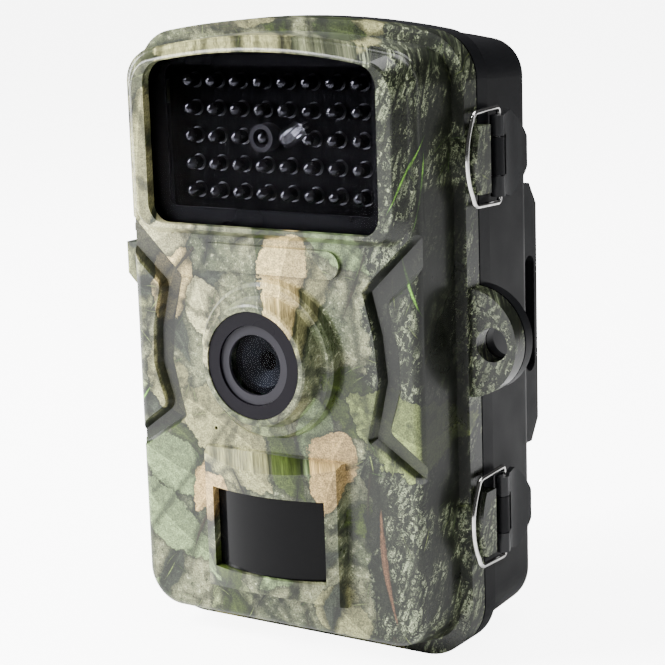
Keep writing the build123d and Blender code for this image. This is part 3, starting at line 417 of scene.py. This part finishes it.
def clear(name, colour, roughness=0.03, ior=1.49):
    """Clear plastic or glass: tinted see-through, with real surface gloss."""
    s = Shader(name, Roughness=roughness, Metallic=1.0)
    s.set("Base Color", (0.9, 0.9, 0.9))
    through = s.node("BsdfTransparent")
    s.put(through.inputs["Color"], (*colour, 1.0))
    share = s.node("MixShader")
    gloss = s.node("Fresnel")
    s.put(gloss.inputs["IOR"], ior)
    smear, _ = s.noise(s.place_mm(), 0.15, 3.0)
    s.put(share.inputs[0], s.math("MULTIPLY_ADD", smear, 0.001, gloss.outputs[0]))
    s.tree.links.new(through.outputs[0], share.inputs[1])
    s.tree.links.new(s.bsdf.outputs[0], share.inputs[2])
    s.tree.links.new(share.outputs[0], s.output.inputs[0])
    return s.material


MATERIALS = {
    "camo_shell": camouflage(),
    "case_black": moulded("case_black", (0.0060, 0.0062, 0.0074), 0.44, 3.0, 0.00002,
                          Specular_IOR_Level=0.12),
    "lever_plastic": moulded("lever_plastic", (0.014, 0.0145, 0.016), 0.34, 2.5, Specular_IOR_Level=0.25),
    "inner_plastic": moulded("inner_plastic", (0.012, 0.012, 0.0135), 0.5, Specular_IOR_Level=0.25),
    "panel_plastic": moulded("panel_plastic", (0.014, 0.0145, 0.016), 0.5, Specular_IOR_Level=0.25),
    "seal_silicone": moulded("seal_silicone", (0.05, 0.05, 0.052), 0.6, 1.2),
    "plug_rubber": moulded("plug_rubber", (0.028, 0.028, 0.029), 0.62, 1.4),
    "key_rubber": moulded("key_rubber", (0.16, 0.165, 0.17), 0.6, 1.8),
    "knob_plastic": moulded("knob_plastic", (0.50, 0.50, 0.49), 0.4),
    "bezel_black": moulded("bezel_black", (0.0040, 0.0032, 0.0055), 0.32, 3.5, 0.00001,
                           Specular_IOR_Level=0.10),
    "trim_grey": moulded("trim_grey", (0.020, 0.019, 0.024), 0.38, 3.5, 0.00001,
                         Specular_IOR_Level=0.15),
    "barrel_black": moulded("barrel_black", (0.004, 0.004, 0.005), 0.5, Specular_IOR_Level=0.2),
    "connector_black": moulded("connector_black", (0.02, 0.02, 0.021), 0.3),
    "card_plastic": moulded("card_plastic", (0.03, 0.05, 0.14), 0.4),
    "cell_wrap": moulded("cell_wrap", (0.05, 0.09, 0.12), 0.22, 0.6, 0.00001),
    "coil_copper": metal("coil_copper", (0.70, 0.32, 0.16), 0.3, (0.2, 6.0, 6.0)),
    "sleeve_grey": moulded("sleeve_grey", (0.028, 0.027, 0.028), 0.5, Specular_IOR_Level=0.2),
    "mask_black": moulded("mask_black", (0.0025, 0.0025, 0.003), 0.3, 3.0, 0.00001,
                          Specular_IOR_Level=0.1),
    "fresnel_black": moulded("fresnel_black", (0.0020, 0.0020, 0.0024), 0.14, 2.0, 0.00001,
                             Specular_IOR_Level=0.10),
    "wire_steel": metal("wire_steel", (0.80, 0.79, 0.77), 0.14, (2.0, 2.0, 0.3)),
    "steel": metal("steel", (0.56, 0.56, 0.58), 0.3),
    "contact_steel": metal("contact_steel", (0.70, 0.70, 0.67), 0.25),
    "brass": metal("brass", (0.78, 0.58, 0.28), 0.25, (0.3, 0.3, 5.0)),
    "board_green": board("board_green", (0.012, 0.10, 0.045), (0.03, 0.20, 0.09)),
    "board_black": board("board_black", (0.0012, 0.0012, 0.0015), (0.0018, 0.0018, 0.002),
                         (0.004, 0.004, 0.004), 0.04),
    "chip": moulded("chip", (0.02, 0.03, 0.05), 0.08, 4.0, 0.000005),
    "display": moulded("display", (0.010, 0.013, 0.017), 0.1, 4.0, 0.000005),
    "smoked_window": clear("smoked_window", (0.76, 0.76, 0.80), 0.02, 1.05),
    "display_window": clear("display_window", (0.86, 0.88, 0.90), 0.03, 1.4),
    "clear_resin": clear("clear_resin", (0.80, 0.80, 0.82), 0.12, 1.9),
    "led_resin": moulded("led_resin", (0.0015, 0.0015, 0.002), 0.40, 1.0, 0.000002,
                         Specular_IOR_Level=0.0, Coat_Weight=1.0, Coat_Roughness=0.02, Coat_IOR=1.8),
    "lens_glass": clear("lens_glass", (0.74, 0.76, 0.82), 0.02, 1.09),
    "filter_glass": clear("filter_glass", (0.45, 0.72, 0.76), 0.02, 1.4),
}

for entry in frame["record"]["subparts"]:
    for holder in nodes[entry["node"]].material_slots:
        holder.link = "OBJECT"
        holder.material = MATERIALS[entry["material_slot"]]


# ================================================================ printed marks inside the door
MARK_RAISED = 0.12 * MM
MARK_SUNK = 0.05 * MM


def mark(name, outlines, centre, back, body, slot):
    """Thin raised marks on a face that looks to the back, from outlines in millimetres round centre."""
    mesh = bmesh.new()
    for outline in outlines:
        ring = [mesh.verts.new((centre[0] + x * MM, back - MARK_SUNK, centre[1] + z * MM))
                for x, z in outline]
        face = mesh.faces.new(ring)
        grown = bmesh.ops.extrude_face_region(mesh, geom=[face])["geom"]
        moved = [v for v in grown if isinstance(v, bmesh.types.BMVert)]
        bmesh.ops.translate(mesh, verts=moved, vec=(0.0, MARK_RAISED + MARK_SUNK, 0.0))
    bmesh.ops.recalc_face_normals(mesh, faces=mesh.faces)
    data = bpy.data.meshes.new(name)
    mesh.to_mesh(data)
    mesh.free()
    data.materials.append(MATERIALS[slot])
    piece = bpy.data.objects.new(name, data)
    bpy.context.scene.collection.objects.link(piece)
    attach(piece, body)


def bar(x, z, half_x, half_z):
    """An upright rectangle round (x, z)."""
    return [(x - half_x, z - half_z), (x + half_x, z - half_z),
            (x + half_x, z + half_z), (x - half_x, z + half_z)]


def arrow(dx, dz):
    """An arrowhead that points along (dx, dz)."""
    tip, base, half = 1.5, -0.9, 1.5
    return [(tip * dx, tip * dz), (base * dx - half * dz, base * dz + half * dx),
            (0.3 * base * dx, 0.3 * base * dz), (base * dx + half * dz, base * dz - half * dx)]


DOT_RADIUS = 1.3
DOT_SIDES = 20
DOT = [(DOT_RADIUS * math.cos(math.tau * k / DOT_SIDES), DOT_RADIUS * math.sin(math.tau * k / DOT_SIDES))
       for k in range(DOT_SIDES)]
BAR_HALF = (1.7, 0.22)
KEY_MARKS = {
    "key_up": [arrow(0, 1)],
    "key_down": [arrow(0, -1)],
    "key_left": [arrow(-1, 0)],
    "key_right": [arrow(1, 0)],
    "key_ok": [DOT],
    "key_menu": [bar(0, z, *BAR_HALF) for z in (1.1, 0, -1.1)],
}
for key, outlines in KEY_MARKS.items():
    key_low, key_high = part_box(key)
    middle = ((key_low[0] + key_high[0]) / 2, (key_low[2] + key_high[2]) / 2)
    mark(key + "_mark", outlines, middle, key_high[1], key, "connector_black")

# three index marks over the power switch's slot: off, setting up, on
panel_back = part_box("inner_panel")[1][1]
knob_low, knob_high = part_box("power_knob")
KNOB_STEP = 4.0
slot_middle = ((knob_low[0] + knob_high[0]) / 2 + KNOB_STEP * MM, (knob_low[2] + knob_high[2]) / 2)
mark("switch_marks", [bar(KNOB_STEP * k, 3.2, 0.25, 0.7) for k in (-1, 0, 1)], slot_middle, panel_back,
     "door", "knob_plastic")


# ================================================================ studio and camera
FLOOR_HALF = 12.0
FLOOR_SEEN = 7.0        # the floor's and the sky's own light for rays that leave the camera
SKY_SEEN = 9.0
SKY_FILL = 0.07         # the sky's light for every ray
CAMERA_AT = (0.2456, -0.3863, 0.1618)
CAMERA_AZIMUTH, CAMERA_ELEVATION, CAMERA_ROLL = 33.09, 11.76, -1.845
CAMERA_LENS, CAMERA_SENSOR = 108.4, 36.0


def area_light(name, at, towards, size, power):
    data = bpy.data.lights.new(name, "AREA")
    data.shape = "RECTANGLE"
    data.size, data.size_y = size
    data.energy = power
    lamp = bpy.data.objects.new(name, data)
    lamp.location = at
    lamp.rotation_euler = (Vector(towards) - Vector(at)).to_track_quat("-Z", "Y").to_euler()
    bpy.context.scene.collection.objects.link(lamp)


def studio():
    """A pale floor that reaches past the view, and large soft lights, the strongest to the upper left."""
    mesh = bpy.data.meshes.new("floor")
    half = FLOOR_HALF
    mesh.from_pydata([(-half, -half, 0), (half, -half, 0), (half, half, 0), (-half, half, 0)], [],
                     [(0, 1, 2, 3)])
    floor = bpy.data.objects.new("floor", mesh)
    bpy.context.scene.collection.objects.link(floor)
    paper = Shader("floor_paper", Roughness=0.75)
    mottle, _ = paper.noise(paper.place_mm(), 0.01)
    paper.set("Base Color", paper.mix(mottle, (0.83, 0.83, 0.83), (0.86, 0.86, 0.86)))
    paper.set("Emission Color", (1.0, 1.0, 1.0))
    # the floor's own light is seen but lights nothing; the sky's is seen more strongly than it lights
    seen = paper.node("LightPath").outputs["Is Camera Ray"]
    paper.set("Emission Strength", paper.math("MULTIPLY", seen, FLOOR_SEEN))
    mesh.materials.append(paper.material)
    world = bpy.data.worlds.new("studio")
    world.use_nodes = True
    world.node_tree.nodes["Background"].inputs[0].default_value = (1.0, 1.0, 1.0, 1.0)
    sky = Tree(world.node_tree)
    seen = sky.node("LightPath").outputs["Is Camera Ray"]
    strength = world.node_tree.nodes["Background"].inputs[1]
    sky.put(strength, sky.math("MULTIPLY_ADD", seen, SKY_SEEN, SKY_FILL))
    bpy.context.scene.world = world
    middle = (0.0, 0.0, 0.07)
    area_light("key", (-0.75, -0.75, 0.75), middle, (0.35, 0.9), 46.0)
    area_light("top", (0.1, 0.1, 1.1), middle, (0.9, 0.7), 14.0)
    area_light("strip", (-0.75, -0.30, 0.40), middle, (0.14, 1.0), 20.0)
    area_light("right", (0.9, 0.25, 0.4), middle, (0.3, 0.9), 1.5)


def camera():
    """The photograph's viewing angle: to the right of the front, a little above, with a slight roll."""
    azimuth, elevation, roll = (math.radians(a) for a in (CAMERA_AZIMUTH, CAMERA_ELEVATION, CAMERA_ROLL))
    back = Vector((math.sin(azimuth) * math.cos(elevation), -math.cos(azimuth) * math.cos(elevation),
                   math.sin(elevation)))
    right = Vector((math.cos(azimuth), math.sin(azimuth), 0.0))
    up = back.cross(right)
    across = right * math.cos(roll) + up * math.sin(roll)
    upward = up * math.cos(roll) - right * math.sin(roll)
    data = bpy.data.cameras.new("camera")
    data.sensor_width = CAMERA_SENSOR
    data.lens = CAMERA_LENS
    made = bpy.data.objects.new("camera", data)
    turn = Matrix((across, upward, back)).transposed().to_4x4()
    made.matrix_world = Matrix.Translation(CAMERA_AT) @ turn
    bpy.context.scene.collection.objects.link(made)
    bpy.context.scene.camera = made


studio()
camera()
